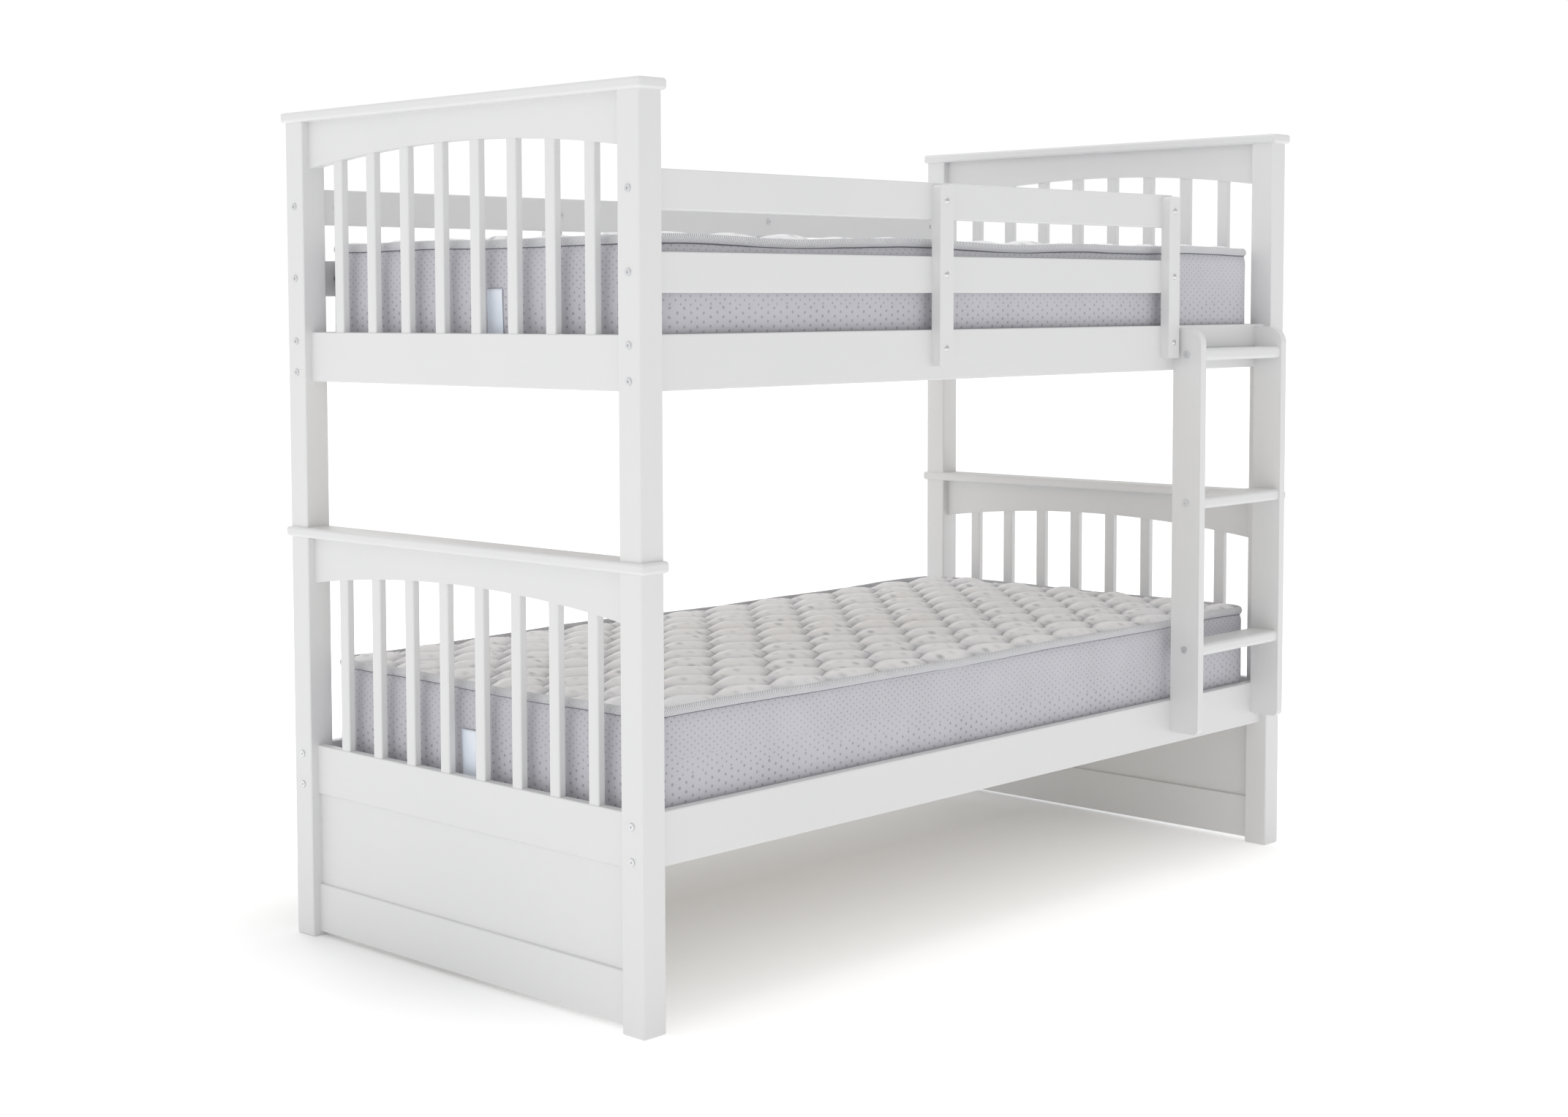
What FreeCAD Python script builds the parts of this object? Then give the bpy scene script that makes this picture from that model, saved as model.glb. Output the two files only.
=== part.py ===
import FreeCAD, Part
import math
import os

os.makedirs("parts", exist_ok=True)

Vector = FreeCAD.Vector

# A twin-over-twin bunk bed in painted wood, in millimetres.
# +X runs along the bed from its left end to its right end, +Y from the ladder side to the back,
# +Z up. The origin is on the floor, at the middle of the whole bed's outline seen from above.

# Mattress and the room left round it
MATTRESS_LENGTH = 1900.0
MATTRESS_WIDTH = 900.0
MATTRESS_THICKNESS = 205.0
MATTRESS_CORNER_RADIUS = 66.0
MATTRESS_EDGE_RADIUS = 20.0
MATTRESS_END_CLEARANCE = 3.0
MATTRESS_SIDE_CLEARANCE = 5.5

# Timber sections
POST = 53.0                    # side of a square post
BOARD = 20.0                   # thickness of rails, guard boards, uprights and stringers
RAIL_HEIGHT = 95.0             # side rails and straight end rails
GUARD_HEIGHT = 69.0            # guard boards
GUARD_GAP = 69.0               # clear space under each guard board
POST_EDGE_RADIUS = 3.0
BOARD_EDGE_RADIUS = 2.5
FOOT_CHAMFER = 2.5

# Heights of one bed, from the surface that its posts stand on
LOWER_END_HEIGHT = 806.0       # floor to the top of the lower cap
UPPER_END_HEIGHT = 800.0       # lower cap to the top of the upper cap
RAIL_CENTRE_HEIGHT = 330.0
KICK_RAIL_LIFT = 8.5           # gap between the floor and the lowest end rail

# Cap rails
CAP_THICKNESS = 20.0
CAP_FRONT_OVERHANG = 9.5       # past the posts at the front and the back
CAP_END_OVERHANG = 6.5         # past the posts at the head and the foot
CAP_INNER_OVERHANG = 5.5
CAP_EDGE_RADIUS = 6.0

# End frames
ARCH_END_DEPTH = 89.0          # arched rail beside a post
ARCH_MIDDLE_DEPTH = 58.0       # arched rail at the top of its curve
END_SLATS = 8
END_SLAT_WIDTH = 26.0
END_SLAT_THICKNESS = 16.0
END_SLAT_EDGE_RADIUS = 3.0
MORTISE_DEPTH = 12.0
PANEL_THICKNESS = 9.0
PANEL_GROOVE = 8.0

# Mattress base
MATTRESS_DROP = 32.5           # top of the side rail down to the underside of the mattress
BASE_SLATS = 13
BASE_SLAT_WIDTH = 70.0
BASE_SLAT_THICKNESS = 18.0
BASE_SLAT_CLEARANCE = 3.0
BASE_END_MARGIN = 25.0
LEDGER_WIDTH = 25.0
LEDGER_HEIGHT = 30.0
LEDGER_END_GAP = 45.0          # leaves the barrel nuts in the side rails free

# Guard uprights
UPRIGHT_WIDTH = 40.0
UPRIGHT_TOP_DROP = 4.5         # below the top edge of the top guard board
UPRIGHT_BOTTOM_LIFT = 26.0     # above the bottom edge of the side rail
UPRIGHT_CORNER_RADIUS = 9.0

# Ladder
LADDER_OPENING = 373.0         # clear width between the last front upright and the right post
LADDER_GAP = 9.0               # between that upright and the ladder
LADDER_WIDTH = 342.0
STRINGER_DEPTH = 68.5
STRINGER_TOP_DROP = 5.5        # below the top edge of the upper side rail
STRINGER_BOTTOM_LIFT = 26.0    # above the bottom edge of the lower side rail
STRINGER_TOP_RADIUS = 36.0
STRINGER_CORNER_RADIUS = 12.0
STEP_COUNT = 3
STEP_SPACING = 316.0
STEP_THICKNESS = 25.0
STEP_DEPTH = 62.0
STEP_BELOW_RAIL_TOP = 62.0     # middle of the top step below the top of the upper side rail
STEP_NOSE_RADIUS = 8.0
STEP_HOUSING = 5.0             # depth of the step's seat in each stringer

# Fixings
BOLT_RADIUS = 3.0
BOLT_CLEARANCE = 0.25
BOLT_HEAD_RADIUS = 6.5
BOLT_HEAD_HEIGHT = 2.2
LADDER_HEAD_RADIUS = 7.5
HEX_KEY = 4.0                  # across the flats of the socket in a bolt's head
HEX_DEPTH = 1.4
DOME_RADIUS = 6.5
DOME_HEIGHT = 4.0
BOLT_SPREAD = 30.0             # side-rail bolts above and below the rail's middle
NUT_RADIUS = 5.0
NUT_LENGTH = 15.0
NUT_FROM_END = 35.0            # barrel nut from the end of its rail
THREAD_PAST_NUT = 4.0
SLEEVE_RADIUS = 4.0
SLEEVE_HEAD_HEIGHT = 2.0
LADDER_BOLT_BITE = 25.0         # into the back edge of a stringer
LADDER_BOLT_LIFTS = (14.0, -7.5)  # above the top of the upper ledger
GUARD_BOLT_LIFT = 12.0          # upright's lowest bolt above the middle of the side rail
SLEEVE_DEPTH = 12.0
DOWEL_RADIUS = 4.0
DOWEL_CLEARANCE = 1.5          # from a dowel's end to a pin in the middle of the post
DOWEL_SPREAD_RAIL = 12.0       # clears the side-rail bolts that cross the same post
DOWEL_SPREAD_KICK = 25.0
DOWEL_SPREAD_ARCH = 22.0
CAP_DOWEL_LENGTH = 40.0
CAP_DOWEL_SEAT = 12.0
PIN_RADIUS = 5.0
PIN_CLEARANCE = 0.5            # round a stacking pin in the upper post
PIN_IN_POST = 35.0
PIN_PROUD = 38.0
PIN_HOLE_SPARE = 3.0
PIN_TIP_CHAMFER = 2.0

# Worked out from the sizes above
RAIL_INSET = (POST - BOARD) / 2
BED_LENGTH = MATTRESS_LENGTH + 2 * MATTRESS_END_CLEARANCE + 2 * POST
BED_WIDTH = MATTRESS_WIDTH + 2 * MATTRESS_SIDE_CLEARANCE + 2 * (RAIL_INSET + BOARD)
LEFT = -BED_LENGTH / 2
RIGHT = BED_LENGTH / 2
LADDER_STANDS_OUT = STRINGER_DEPTH - RAIL_INSET
FRONT = -(BED_WIDTH + CAP_FRONT_OVERHANG - LADDER_STANDS_OUT) / 2
BACK = FRONT + BED_WIDTH
MIDDLE_Y = (FRONT + BACK) / 2
INNER_LEFT = LEFT + POST
INNER_RIGHT = RIGHT - POST
INNER_FRONT = FRONT + POST
INNER_BACK = BACK - POST
RAIL_FRONT_Y = FRONT + RAIL_INSET
RAIL_BACK_Y = BACK - RAIL_INSET
ARCH_RISE = ARCH_END_DEPTH - ARCH_MIDDLE_DEPTH
LEDGER_X = (INNER_LEFT + LEDGER_END_GAP, INNER_RIGHT - LEDGER_END_GAP)
DOWEL_LENGTH = 2 * (POST / 2 - PIN_RADIUS - DOWEL_CLEARANCE)

SIDES = {"left": 1, "right": -1}
ROWS = {"front": 1, "back": -1}
LEVELS = {
    "lower": {"seat": 0.0, "height": LOWER_END_HEIGHT},
    "upper": {"seat": LOWER_END_HEIGHT, "height": UPPER_END_HEIGHT},
}

pieces = {}


def box(x, y, z):
    """Solid block between pairs of coordinates given in any order."""
    low = Vector(min(x), min(y), min(z))
    return Part.makeBox(max(x) - min(x), max(y) - min(y), max(z) - min(z), low)


def long_edges(solid, direction):
    """Straight edges of a block that run along one axis."""
    found = []
    for edge in solid.Edges:
        run = edge.Vertexes[-1].Point - edge.Vertexes[0].Point
        if run.Length > 0 and abs(run.normalize().dot(direction)) > 0.999:
            found.append(edge)
    return found


def board(x, y, z, along, radius=BOARD_EDGE_RADIUS):
    """Block whose edges along one axis are rounded over."""
    solid = box(x, y, z)
    return solid.makeFillet(radius, long_edges(solid, along))


def cylinder(radius, start, direction, length):
    return Part.makeCylinder(radius, length, start, direction)


def hexagon_prism(across_flats, start, direction, length):
    """Six-sided bar for the socket in a bolt's head."""
    corner = across_flats / math.sqrt(3)
    turn = FreeCAD.Rotation(Vector(0, 0, 1), direction)
    points = []
    for i in range(7):
        angle = math.radians(60 * i)
        local = Vector(corner * math.cos(angle), corner * math.sin(angle), 0)
        points.append(start + turn.multVec(local))
    face = Part.Face(Part.makePolygon(points))
    return face.extrude(direction * length)


def drill(names, tool):
    for name in names:
        pieces[name] = pieces[name].cut(tool)


def end_x(side, depth):
    """X of a plane at a depth behind the outer face of an end frame."""
    return LEFT + depth if side == "left" else RIGHT - depth


def row_y(row, depth):
    """Y of a plane at a depth behind the outer face of the front or back posts."""
    return FRONT + depth if row == "front" else BACK - depth


def inward_x(side):
    return Vector(SIDES[side], 0, 0)


def rail_middle(level):
    return LEVELS[level]["seat"] + RAIL_CENTRE_HEIGHT


def rail_z(level):
    middle = rail_middle(level)
    return (middle - RAIL_HEIGHT / 2, middle + RAIL_HEIGHT / 2)


def cap_underside(level):
    return LEVELS[level]["seat"] + LEVELS[level]["height"] - CAP_THICKNESS


def arch_edge_z(level, y):
    """Height of the arched rail's lower edge at a distance across the bed."""
    half_span = (INNER_BACK - INNER_FRONT) / 2
    radius = (half_span ** 2 + ARCH_RISE ** 2) / (2 * ARCH_RISE)
    top = cap_underside(level) - ARCH_MIDDLE_DEPTH
    return top - radius + math.sqrt(radius ** 2 - (y - MIDDLE_Y) ** 2)


# End frames


def make_posts(level):
    low = LEVELS[level]["seat"]
    high = cap_underside(level)
    for row in ROWS:
        for side in SIDES:
            x = (end_x(side, 0), end_x(side, POST))
            y = (row_y(row, 0), row_y(row, POST))
            post = board(x, y, (low, high), Vector(0, 0, 1), POST_EDGE_RADIUS)
            if level == "lower":
                foot = [e for e in post.Edges if e.BoundBox.ZMax < low + 0.01]
                post = post.makeChamfer(FOOT_CHAMFER, foot)
            pieces[f"{level}_post_{row}_{side}"] = post


def make_cap(level, side):
    low = cap_underside(level)
    x = (end_x(side, -CAP_END_OVERHANG), end_x(side, POST + CAP_INNER_OVERHANG))
    y = (FRONT - CAP_FRONT_OVERHANG, BACK + CAP_FRONT_OVERHANG)
    cap = box(x, y, (low, low + CAP_THICKNESS))
    cap = cap.makeFillet(CAP_EDGE_RADIUS, cap.Edges)
    pieces[f"{level}_cap_{side}"] = cap


def make_arch_rail(level, side):
    high = cap_underside(level)
    x = end_x(side, RAIL_INSET)
    ends = high - ARCH_END_DEPTH
    corners = [Vector(x, INNER_FRONT, ends), Vector(x, INNER_FRONT, high),
               Vector(x, INNER_BACK, high), Vector(x, INNER_BACK, ends)]
    crown = Vector(x, MIDDLE_Y, high - ARCH_MIDDLE_DEPTH)
    edges = [Part.makeLine(corners[i], corners[i + 1]) for i in range(3)]
    edges.append(Part.Arc(corners[3], crown, corners[0]).toShape())
    rail = Part.Face(Part.Wire(edges)).extrude(inward_x(side) * BOARD)
    pieces[f"{level}_arch_rail_{side}"] = rail


def make_straight_end_rail(name, side, z):
    x = (end_x(side, RAIL_INSET), end_x(side, RAIL_INSET + BOARD))
    y = (INNER_FRONT, INNER_BACK)
    pieces[f"{name}_{side}"] = board(x, y, z, Vector(0, 1, 0))


def make_end_slats(level, side):
    arch = f"{level}_arch_rail_{side}"
    rail = f"{level}_end_rail_{side}"
    centre = POST / 2
    x = (end_x(side, centre - END_SLAT_THICKNESS / 2), end_x(side, centre + END_SLAT_THICKNESS / 2))
    gap = (INNER_BACK - INNER_FRONT - END_SLATS * END_SLAT_WIDTH) / (END_SLATS + 1)
    low = rail_z(level)[1] - MORTISE_DEPTH
    slats = []
    for i in range(END_SLATS):
        start = INNER_FRONT + gap + i * (gap + END_SLAT_WIDTH)
        y = (start, start + END_SLAT_WIDTH)
        high = arch_edge_z(level, start + END_SLAT_WIDTH / 2) + MORTISE_DEPTH
        slats.append(board(x, y, (low, high), Vector(0, 0, 1), END_SLAT_EDGE_RADIUS))
    group = Part.Compound(slats)
    drill([arch, rail], group)
    pieces[f"{level}_end_slats_{side}"] = group


def make_end_panel(side):
    """Flat panel held in grooves under the lower bed's end rail."""
    centre = POST / 2
    x = (end_x(side, centre - PANEL_THICKNESS / 2), end_x(side, centre + PANEL_THICKNESS / 2))
    y = (INNER_FRONT - PANEL_GROOVE, INNER_BACK + PANEL_GROOVE)
    z = (KICK_RAIL_LIFT + RAIL_HEIGHT - PANEL_GROOVE, rail_z("lower")[0] + PANEL_GROOVE)
    panel = box(x, y, z)
    drill([f"lower_post_front_{side}", f"lower_post_back_{side}", f"lower_end_rail_{side}",
           f"lower_kick_rail_{side}"], panel)
    pieces[f"lower_end_panel_{side}"] = panel


def make_end_frames():
    for level in LEVELS:
        make_posts(level)
        for side in SIDES:
            make_cap(level, side)
            make_arch_rail(level, side)
            make_straight_end_rail(f"{level}_end_rail", side, rail_z(level))
            make_end_slats(level, side)
    for side in SIDES:
        kick_z = (KICK_RAIL_LIFT, KICK_RAIL_LIFT + RAIL_HEIGHT)
        make_straight_end_rail("lower_kick_rail", side, kick_z)
        make_end_panel(side)


# Side rails, mattress bases and mattresses


def make_side_rails(level):
    for row in ROWS:
        y = (row_y(row, RAIL_INSET), row_y(row, RAIL_INSET + BOARD))
        rail = board((INNER_LEFT, INNER_RIGHT), y, rail_z(level), Vector(1, 0, 0))
        pieces[f"{level}_side_rail_{row}"] = rail


def mattress_underside(level):
    return rail_z(level)[1] - MATTRESS_DROP


def ledger_top(level):
    return mattress_underside(level) - BASE_SLAT_THICKNESS


def make_base(level):
    """Two ledgers inside the side rails, and the loose slats that lie on them."""
    slat_low = ledger_top(level)
    inset = RAIL_INSET + BOARD
    ledgers = []
    for row in ROWS:
        y = (row_y(row, inset), row_y(row, inset + LEDGER_WIDTH))
        ledgers.append(box(LEDGER_X, y, (slat_low - LEDGER_HEIGHT, slat_low)))
    pieces[f"{level}_ledgers"] = Part.Compound(ledgers)

    y = (row_y("front", inset + BASE_SLAT_CLEARANCE), row_y("back", inset + BASE_SLAT_CLEARANCE))
    first = INNER_LEFT + BASE_END_MARGIN
    run = INNER_RIGHT - BASE_END_MARGIN - BASE_SLAT_WIDTH - first
    slats = []
    for i in range(BASE_SLATS):
        x = first + run * i / (BASE_SLATS - 1)
        slat = board((x, x + BASE_SLAT_WIDTH), y, (slat_low, slat_low + BASE_SLAT_THICKNESS),
                     Vector(0, 1, 0))
        slats.append(slat)
    pieces[f"{level}_base_slats"] = Part.Compound(slats)


def make_mattress(level):
    low = mattress_underside(level)
    half_length = MATTRESS_LENGTH / 2
    half_width = MATTRESS_WIDTH / 2
    solid = box((-half_length, half_length), (MIDDLE_Y - half_width, MIDDLE_Y + half_width),
                (low, low + MATTRESS_THICKNESS))
    solid = solid.makeFillet(MATTRESS_CORNER_RADIUS, long_edges(solid, Vector(0, 0, 1)))
    rims = [e for e in solid.Edges if e.BoundBox.ZLength < 0.01]
    pieces[f"{level}_mattress"] = solid.makeFillet(MATTRESS_EDGE_RADIUS, rims)


# Guards


def guard_board_z(number):
    low = rail_z("upper")[1] + GUARD_GAP + number * (GUARD_HEIGHT + GUARD_GAP)
    return (low, low + GUARD_HEIGHT)


def guard_right_end(row):
    return INNER_RIGHT - LADDER_OPENING if row == "front" else INNER_RIGHT


def upright_x(row):
    """Left edges of the two uprights, with equal clear spaces between them."""
    end = guard_right_end(row)
    if row == "front":
        space = (end - INNER_LEFT - 2 * UPRIGHT_WIDTH) / 2
    else:
        space = (end - INNER_LEFT - 2 * UPRIGHT_WIDTH) / 3
    first = INNER_LEFT + space
    return [first, first + UPRIGHT_WIDTH + space]


def make_upright(row, x):
    y = (row_y(row, RAIL_INSET - BOARD), row_y(row, RAIL_INSET))
    z = (rail_z("upper")[0] + UPRIGHT_BOTTOM_LIFT, guard_board_z(1)[1] - UPRIGHT_TOP_DROP)
    solid = box((x, x + UPRIGHT_WIDTH), y, z)
    across = [e for e in long_edges(solid, Vector(0, 1, 0)) if e.BoundBox.ZMin > sum(z) / 2]
    solid = solid.makeFillet(UPRIGHT_CORNER_RADIUS, across)
    return solid


def make_guards():
    for row in ROWS:
        for number, label in enumerate(("mid", "top")):
            x = (INNER_LEFT, guard_right_end(row))
            y = (row_y(row, RAIL_INSET), row_y(row, RAIL_INSET + BOARD))
            name = f"guard_{row}_{label}_board"
            pieces[name] = board(x, y, guard_board_z(number), Vector(1, 0, 0))
    left_x, right_x = upright_x("front")
    pieces["guard_front_upright_left"] = make_upright("front", left_x)
    pieces["guard_front_upright_right"] = make_upright("front", right_x)
    pieces["guard_back_uprights"] = Part.Compound([make_upright("back", x) for x in upright_x("back")])


# Ladder

LADDER_LEFT = guard_right_end("front") + LADDER_GAP
LADDER_RIGHT = LADDER_LEFT + LADDER_WIDTH
STEP_FRONT = RAIL_FRONT_Y - (STRINGER_DEPTH + STEP_DEPTH) / 2
STEP_NAMES = ("top", "middle", "bottom")


def stringer_x(side):
    if side == "left":
        return (LADDER_LEFT, LADDER_LEFT + BOARD)
    return (LADDER_RIGHT - BOARD, LADDER_RIGHT)


def make_stringer(side):
    y = (RAIL_FRONT_Y - STRINGER_DEPTH, RAIL_FRONT_Y)
    z = (rail_z("lower")[0] + STRINGER_BOTTOM_LIFT, rail_z("upper")[1] - STRINGER_TOP_DROP)
    solid = box(stringer_x(side), y, z)
    corners = long_edges(solid, Vector(1, 0, 0))
    top_front = [e for e in corners if e.BoundBox.ZMin > sum(z) / 2 and e.BoundBox.YMax < sum(y) / 2]
    solid = solid.makeFillet(STRINGER_TOP_RADIUS, top_front)
    bottom = [e for e in long_edges(solid, Vector(1, 0, 0)) if e.BoundBox.ZMax < z[0] + 0.01]
    pieces[f"ladder_stringer_{side}"] = solid.makeFillet(STRINGER_CORNER_RADIUS, bottom)


def step_middle(number):
    return rail_z("upper")[1] - STEP_BELOW_RAIL_TOP - number * STEP_SPACING


def make_step(number):
    x = (stringer_x("left")[1] - STEP_HOUSING, stringer_x("right")[0] + STEP_HOUSING)
    y = (STEP_FRONT, STEP_FRONT + STEP_DEPTH)
    middle = step_middle(number)
    solid = box(x, y, (middle - STEP_THICKNESS / 2, middle + STEP_THICKNESS / 2))
    nose = [e for e in long_edges(solid, Vector(1, 0, 0)) if e.BoundBox.YMax < STEP_FRONT + 0.01]
    solid = solid.makeFillet(STEP_NOSE_RADIUS, nose)
    drill(["ladder_stringer_left", "ladder_stringer_right"], solid)
    pieces[f"ladder_step_{STEP_NAMES[number]}"] = solid


def make_ladder():
    for side in SIDES:
        make_stringer(side)
    for number in range(STEP_COUNT):
        make_step(number)


# Fixings


def flat_bolt(start, direction, length, head_radius):
    """Flat-headed bolt: its head stands on the face at start, its shank runs along direction."""
    head = cylinder(head_radius, start - direction * BOLT_HEAD_HEIGHT, direction, BOLT_HEAD_HEIGHT)
    rim = [e for e in head.Edges if (e.BoundBox.Center - start).dot(direction) < 0.01 - BOLT_HEAD_HEIGHT]
    head = head.makeFillet(BOLT_HEAD_HEIGHT / 3, rim)
    shank = cylinder(BOLT_RADIUS, start, direction, length)
    socket = hexagon_prism(HEX_KEY, start - direction * BOLT_HEAD_HEIGHT, direction, HEX_DEPTH)
    return head.fuse(shank).removeSplitter().cut(socket)


def barrel_nut(centre, direction, shank_direction):
    nut = cylinder(NUT_RADIUS, centre - direction * NUT_LENGTH / 2, direction, NUT_LENGTH)
    hole = cylinder(BOLT_RADIUS, centre - shank_direction * NUT_RADIUS * 2, shank_direction,
                    NUT_RADIUS * 4)
    return nut.cut(hole)


def bolt_and_barrel(target, through, start, direction, depth, nut_axis, open_side, head_radius):
    """Bolt through one piece into a barrel nut that sits across another piece's end.

    start is on the outer face, depth is the distance from it to the nut's middle, and open_side is
    how far the nut's hole runs from the nut's middle to the face where the nut is dropped in.
    """
    length = depth + NUT_RADIUS + THREAD_PAST_NUT
    bolt = flat_bolt(start, direction, length, head_radius)
    bore = cylinder(BOLT_RADIUS + BOLT_CLEARANCE, start, direction, length)
    centre = start + direction * depth
    nut = barrel_nut(centre, nut_axis, direction)
    pocket = cylinder(NUT_RADIUS, centre - nut_axis * NUT_LENGTH / 2, nut_axis,
                      NUT_LENGTH / 2 + open_side)
    drill([through, target], bore)
    drill([target], pocket)
    return bolt, nut


def make_rail_fixings():
    groups = {"lower_rail_bolts": [], "lower_barrel_nuts": [], "upper_rail_bolts": [],
              "upper_barrel_nuts": []}
    for level in LEVELS:
        for row in ROWS:
            for side in SIDES:
                post = f"{level}_post_{row}_{side}"
                rail = f"{level}_side_rail_{row}"
                jobs = [(rail, rail_middle(level) - BOLT_SPREAD), (rail, rail_middle(level) + BOLT_SPREAD)]
                if level == "upper" and (row == "back" or side == "left"):
                    for number, label in enumerate(("mid", "top")):
                        jobs.append((f"guard_{row}_{label}_board", sum(guard_board_z(number)) / 2))
                for target, z in jobs:
                    start = Vector(end_x(side, 0), row_y(row, POST / 2), z)
                    inner = Vector(0, ROWS[row], 0)
                    bolt, nut = bolt_and_barrel(target, post, start, inward_x(side),
                                                POST + NUT_FROM_END, inner, BOARD / 2, BOLT_HEAD_RADIUS)
                    groups[f"{level}_rail_bolts"].append(bolt)
                    groups[f"{level}_barrel_nuts"].append(nut)
    return groups


def dome_bolt(start, direction, length):
    """Dome-headed bolt whose head stands on the face at start."""
    base_radius = (DOME_RADIUS ** 2 + DOME_HEIGHT ** 2) / (2 * DOME_HEIGHT)
    ball = Part.makeSphere(base_radius, start + direction * (base_radius - DOME_HEIGHT))
    clip = cylinder(DOME_RADIUS * 2, start - direction * DOME_HEIGHT * 2, direction, DOME_HEIGHT * 2)
    head = ball.common(clip)
    return head.fuse(cylinder(BOLT_RADIUS, start, direction, length))


def sleeve_nut(start, direction, depth):
    """Flat-headed sleeve that the bolt screws into, with its head on the inner face at start."""
    head = cylinder(DOME_RADIUS, start - direction * SLEEVE_HEAD_HEIGHT, direction, SLEEVE_HEAD_HEIGHT)
    sleeve = cylinder(SLEEVE_RADIUS, start, direction, depth)
    hole = cylinder(BOLT_RADIUS, start, direction, depth)
    socket = hexagon_prism(HEX_KEY, start - direction * SLEEVE_HEAD_HEIGHT, direction, HEX_DEPTH)
    return head.fuse(sleeve).cut(hole).cut(socket)


def make_guard_fixings():
    bolts = []
    nuts = []
    for row in ROWS:
        inward = Vector(0, ROWS[row], 0)
        levels = [(f"upper_side_rail_{row}", rail_middle("upper") + GUARD_BOLT_LIFT)]
        for number, label in enumerate(("mid", "top")):
            levels.append((f"guard_{row}_{label}_board", sum(guard_board_z(number)) / 2))
        for index, x in enumerate(upright_x(row)):
            if row == "front":
                upright = "guard_front_upright_" + ("left", "right")[index]
            else:
                upright = "guard_back_uprights"
            for target, z in levels:
                outer = Vector(x + UPRIGHT_WIDTH / 2, row_y(row, RAIL_INSET - BOARD), z)
                inner = outer + inward * 2 * BOARD
                bolts.append(dome_bolt(outer, inward, 2 * BOARD - SLEEVE_HEAD_HEIGHT))
                nuts.append(sleeve_nut(inner, -inward, SLEEVE_DEPTH))
                bore = cylinder(BOLT_RADIUS + BOLT_CLEARANCE, outer, inward, 2 * BOARD)
                drill([upright, target], bore)
                drill([target], cylinder(SLEEVE_RADIUS, inner, -inward, SLEEVE_DEPTH))
    return {"guard_bolts": bolts, "guard_nuts": nuts}


def make_ladder_fixings():
    bolts = []
    nuts = []
    for side in SIDES:
        outer_x = LADDER_LEFT if side == "left" else LADDER_RIGHT
        stringer = f"ladder_stringer_{side}"
        for number in range(STEP_COUNT):
            start = Vector(outer_x, STEP_FRONT + STEP_DEPTH / 2, step_middle(number))
            bolt, nut = bolt_and_barrel(f"ladder_step_{STEP_NAMES[number]}", stringer, start,
                                        inward_x(side), BOARD + NUT_FROM_END, Vector(0, 0, -1),
                                        STEP_THICKNESS / 2, LADDER_HEAD_RADIUS)
            bolts.append(bolt)
            nuts.append(nut)
        x = sum(stringer_x(side)) / 2
        for lift in LADDER_BOLT_LIFTS:
            z = ledger_top("upper") + lift
            behind_ledger = LEDGER_X[0] < x < LEDGER_X[1] and z < ledger_top("upper")
            through = BOARD + (LEDGER_WIDTH if behind_ledger else 0)
            start = Vector(x, RAIL_FRONT_Y + through, z)
            length = through + LADDER_BOLT_BITE
            bolts.append(flat_bolt(start, Vector(0, -1, 0), length, BOLT_HEAD_RADIUS))
            bore = cylinder(BOLT_RADIUS, start, Vector(0, -1, 0), length)
            drill([stringer, "upper_side_rail_front", "upper_ledgers"], bore)
    return {"ladder_bolts": bolts, "upper_barrel_nuts": nuts}


def dowel(centre, direction, length, names):
    peg = cylinder(DOWEL_RADIUS, centre - direction * length / 2, direction, length)
    drill(names, peg)
    return peg


def make_dowels():
    """Glued pegs that join the end rails to the posts, and the upper caps to their posts."""
    groups = {"lower_dowels": [], "upper_dowels": []}
    for level in LEVELS:
        arch_middle = cap_underside(level) - ARCH_END_DEPTH / 2
        rails = [(f"{level}_arch_rail", arch_middle, DOWEL_SPREAD_ARCH),
                 (f"{level}_end_rail", rail_middle(level), DOWEL_SPREAD_RAIL)]
        if level == "lower":
            rails.append(("lower_kick_rail", KICK_RAIL_LIFT + RAIL_HEIGHT / 2, DOWEL_SPREAD_KICK))
        for side in SIDES:
            x = end_x(side, POST / 2)
            for row in ROWS:
                post = f"{level}_post_{row}_{side}"
                joint_y = row_y(row, POST)
                for rail, middle, spread in rails:
                    for offset in (-spread, spread):
                        centre = Vector(x, joint_y, middle + offset)
                        peg = dowel(centre, Vector(0, 1, 0), DOWEL_LENGTH, [post, f"{rail}_{side}"])
                        groups[f"{level}_dowels"].append(peg)
                if level == "upper":
                    middle = cap_underside(level) + CAP_DOWEL_SEAT - CAP_DOWEL_LENGTH / 2
                    centre = Vector(x, row_y(row, POST / 2), middle)
                    peg = dowel(centre, Vector(0, 0, 1), CAP_DOWEL_LENGTH, [post, f"{level}_cap_{side}"])
                    groups["upper_dowels"].append(peg)
    return groups


def make_stacking_pins():
    """Steel pins fixed in the lower posts, which the upper posts drop over."""
    up = Vector(0, 0, 1)
    pins = []
    for side in SIDES:
        for row in ROWS:
            low = Vector(end_x(side, POST / 2), row_y(row, POST / 2),
                         LOWER_END_HEIGHT - CAP_THICKNESS - PIN_IN_POST)
            length = PIN_IN_POST + CAP_THICKNESS + PIN_PROUD
            pin = cylinder(PIN_RADIUS, low, up, length)
            tip = [e for e in pin.Edges if e.BoundBox.ZMin > low.z + length - 0.01]
            pins.append(pin.makeChamfer(PIN_TIP_CHAMFER, tip))
            drill([f"lower_post_{row}_{side}", f"lower_cap_{side}"], cylinder(PIN_RADIUS, low, up, length))
            seat = Vector(low.x, low.y, LOWER_END_HEIGHT)
            socket = cylinder(PIN_RADIUS + PIN_CLEARANCE, seat, up, PIN_PROUD + PIN_HOLE_SPARE)
            drill([f"upper_post_{row}_{side}"], socket)
    return {"stacking_pins": pins}


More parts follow.
